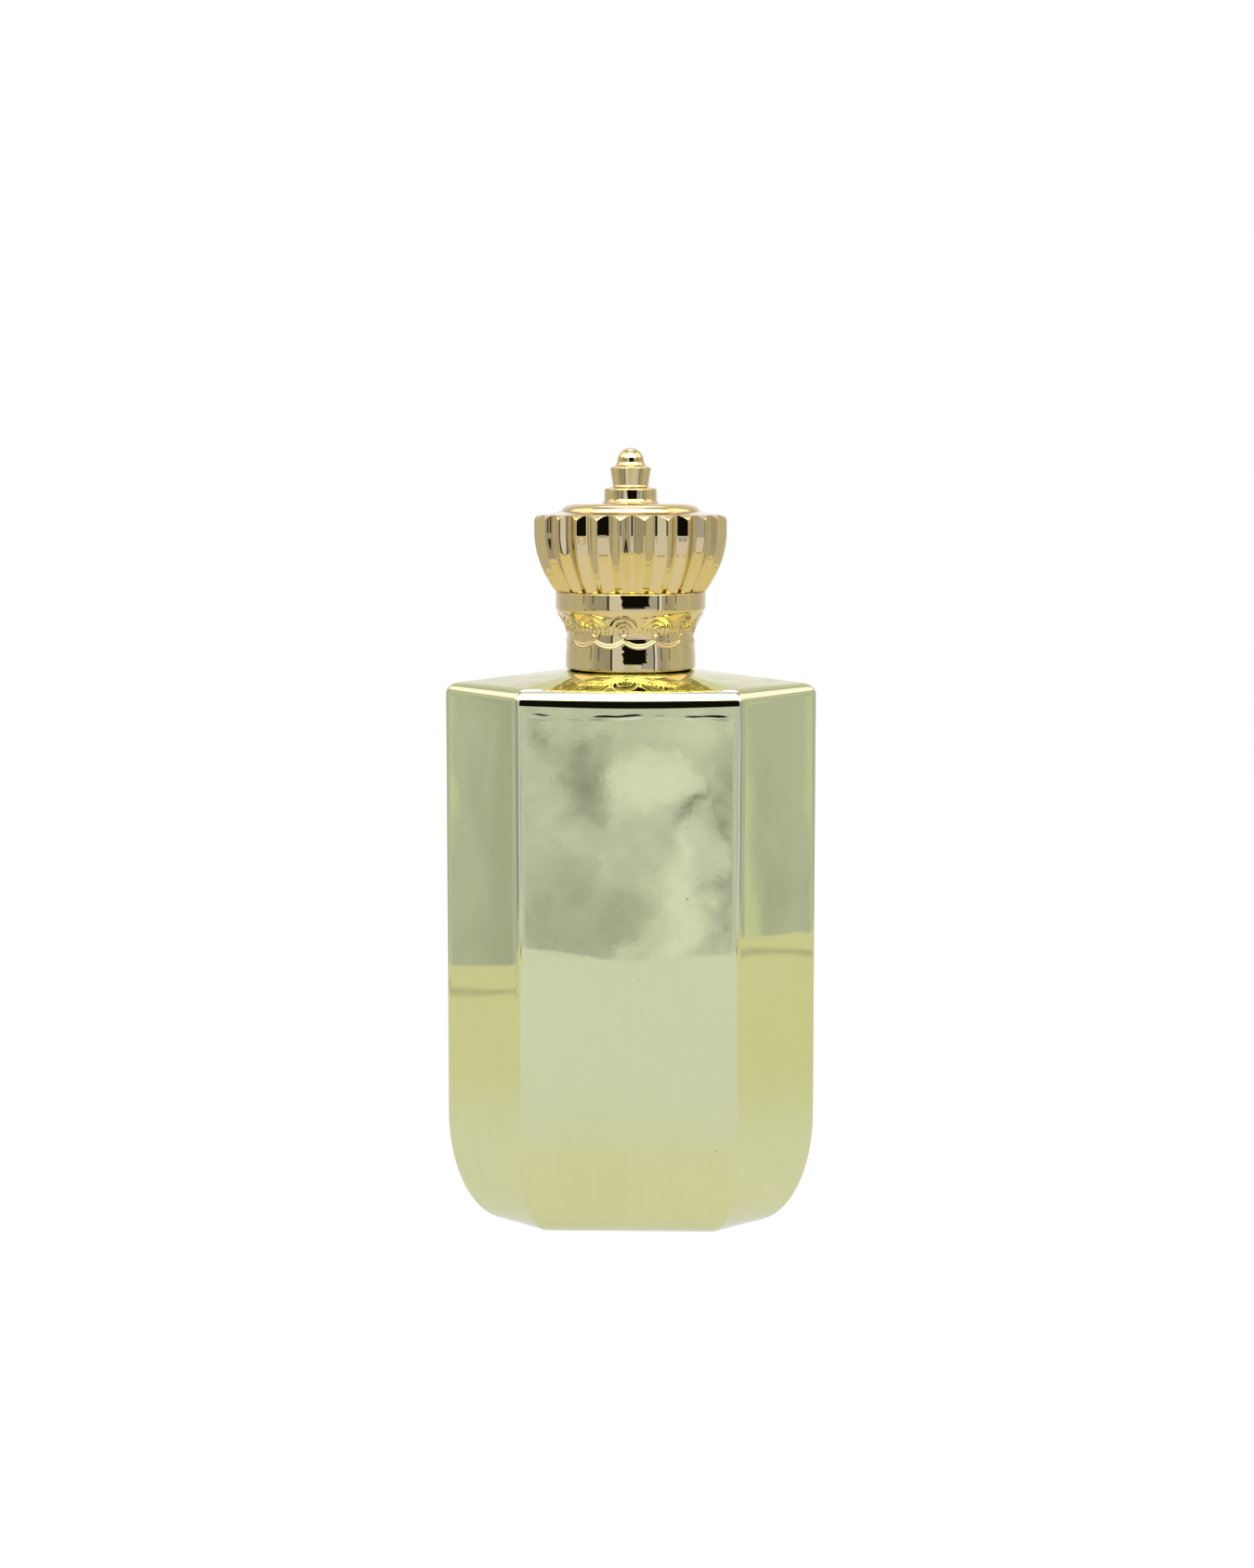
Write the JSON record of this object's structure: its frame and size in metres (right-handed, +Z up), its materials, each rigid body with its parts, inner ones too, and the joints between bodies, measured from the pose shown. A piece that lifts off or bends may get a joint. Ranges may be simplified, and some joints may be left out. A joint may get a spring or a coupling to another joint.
{
  "type": "perfume bottle",
  "caption": "Faceted metallised-glass perfume bottle with a crimped spray pump under a lift-off crown-shaped cap with a fluted bowl and turned finial.",
  "frame": {"origin": "middle of the flat base, on the surface that the bottle stands on", "axes": "+Z up along the neck and pump, +X to the viewer's right when the nozzle and the broad front panel face the viewer, -Y towards the viewer"},
  "size_m": [0.0752, 0.0388, 0.1588],
  "materials": {
    "gold_glass": "mirror metallised, pale greenish gold",
    "cap_gold": "electroplated mirror gold over a cast alloy",
    "collar_gold": "anodised gold, bright",
    "ferrule_metal": "bright rolled aluminium",
    "steel": "drawn stainless steel",
    "white_plastic": "moulded polypropylene",
    "clear_plastic": "natural polyethylene",
    "seal_rubber": "matte"
  },
  "bodies": {
    "bottle": {"glass_bottle": "gold_glass", "neck_gasket": "seal_rubber", "crimp_ferrule": "ferrule_metal", "neck_collar": "collar_gold", "pump_housing": "white_plastic", "housing_closure": "white_plastic", "stem_seal": "seal_rubber", "dip_tube": "clear_plastic", "pump_spring": "steel"},
    "stem": {"pump_stem": "white_plastic", "pump_piston": "clear_plastic"},
    "actuator": {"actuator_core": "white_plastic", "actuator_shell": "collar_gold", "nozzle_insert": "white_plastic"},
    "ball": {"check_ball": "steel"},
    "cap": {"cap_liner": "white_plastic", "cap_sleeve": "cap_gold", "cap_weight": "steel", "crown_bowl": "cap_gold", "crown_top": "cap_gold", "finial": "cap_gold", "finial_screw": "steel"}
  },
  "joints": [
    {"name": "stem_press", "type": "slide", "parent": "bottle", "child": "stem", "axis": [0, 0, -1], "range_m": [0, 0.005], "stiffness_N_per_m": 900, "springref_m": -0.002, "deforming": ["pump_spring"]},
    {"name": "actuator_turn", "type": "hinge", "parent": "stem", "child": "actuator", "pos_m": [0, 0, 0.1335], "axis": [0, 0, 1], "continuous": true},
    {"name": "ball_lift", "type": "slide", "parent": "bottle", "child": "ball", "axis": [0, 0, 1], "range_m": [0, 0.0008]},
    {"name": "cap_lift", "type": "slide", "parent": "bottle", "child": "cap", "axis": [0, 0, 1], "range_m": [0, 0.04]}
  ]
}
